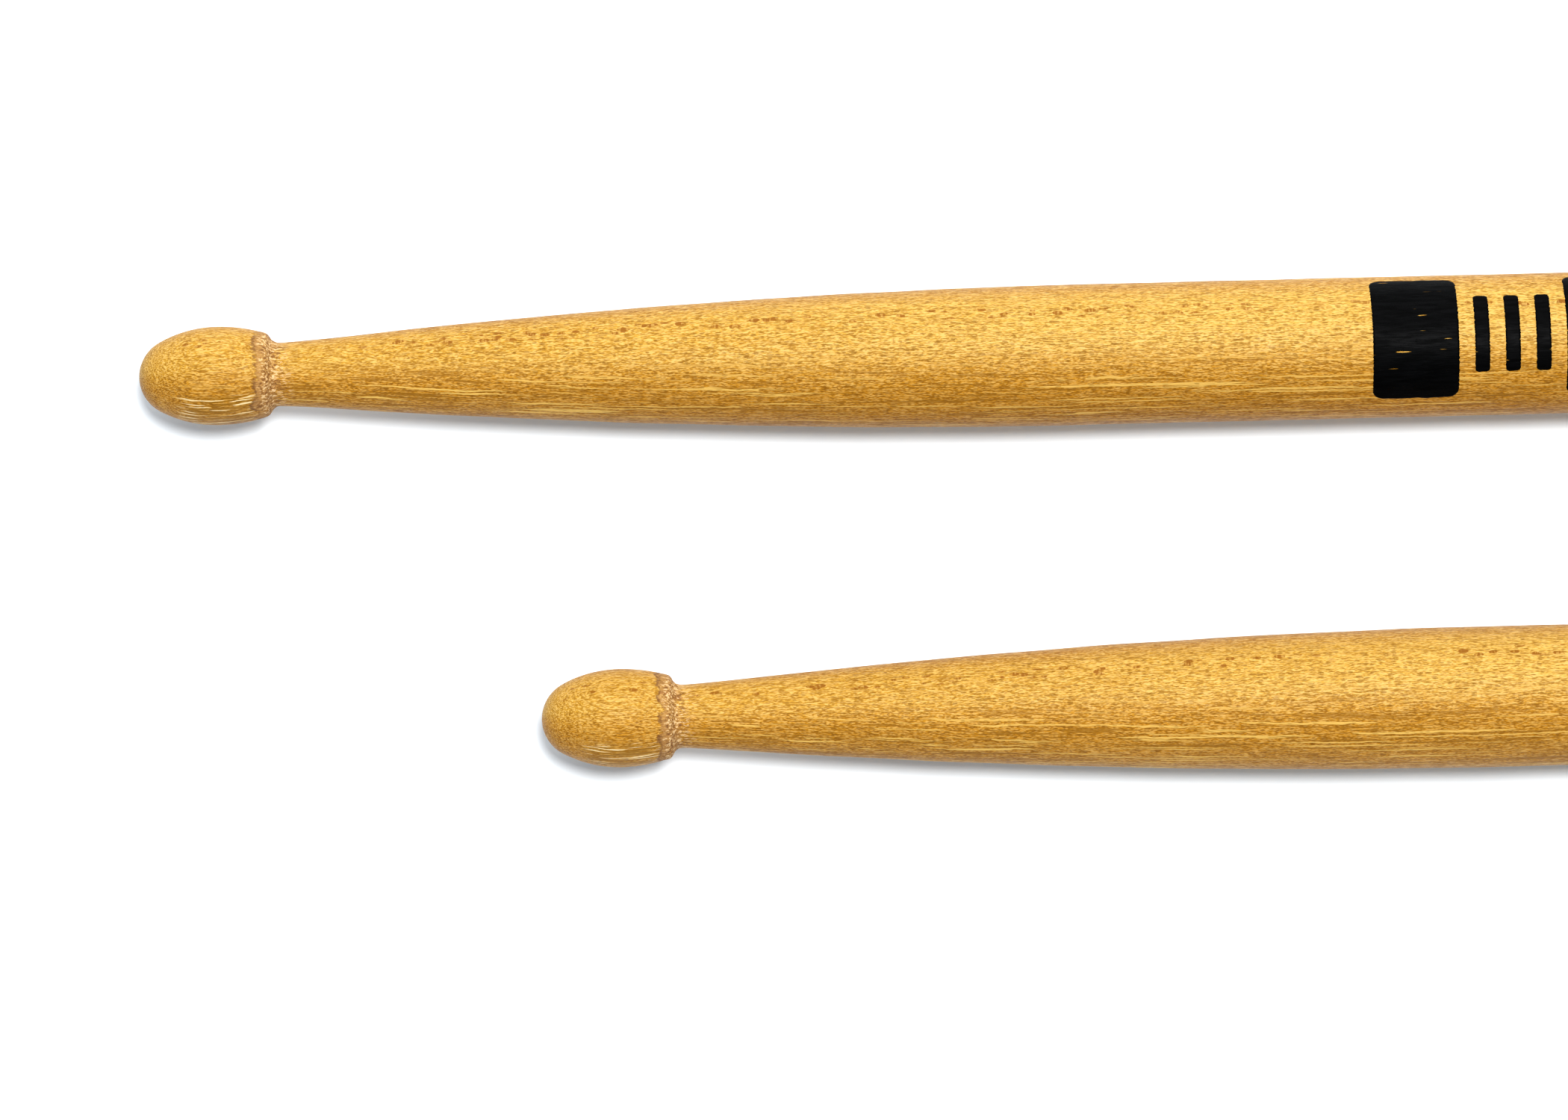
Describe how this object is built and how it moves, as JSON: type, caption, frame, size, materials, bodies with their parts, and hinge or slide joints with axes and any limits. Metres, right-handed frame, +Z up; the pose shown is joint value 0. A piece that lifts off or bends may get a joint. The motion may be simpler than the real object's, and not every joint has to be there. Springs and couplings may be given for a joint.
{
  "type": "pair of drumsticks",
  "caption": "Pair of turned wooden drumsticks with oval bead tips, slender necks, long tapered shoulders and rounded butts, lying side by side.",
  "frame": {"origin": "under the middle of the pair's bounding box, at the height of the surface that the shafts lie on", "axes": "+Z up away from that surface, +X along both sticks from the bead tips towards the butts, +Y from the lower stick towards the upper stick"},
  "size_m": [0.4466, 0.0502, 0.0143],
  "materials": {
    "hardwood": "satin",
    "ink": "matte"
  },
  "bodies": {
    "upper_stick": {"upper_stick": "hardwood"},
    "lower_stick": {"lower_stick": "hardwood"}
  },
  "joints": [
    {"name": "lower_stick_away", "type": "slide", "parent": "upper_stick", "child": "lower_stick", "axis": [0, -1, 0], "range_m": [-0.021, 0.15]}
  ]
}
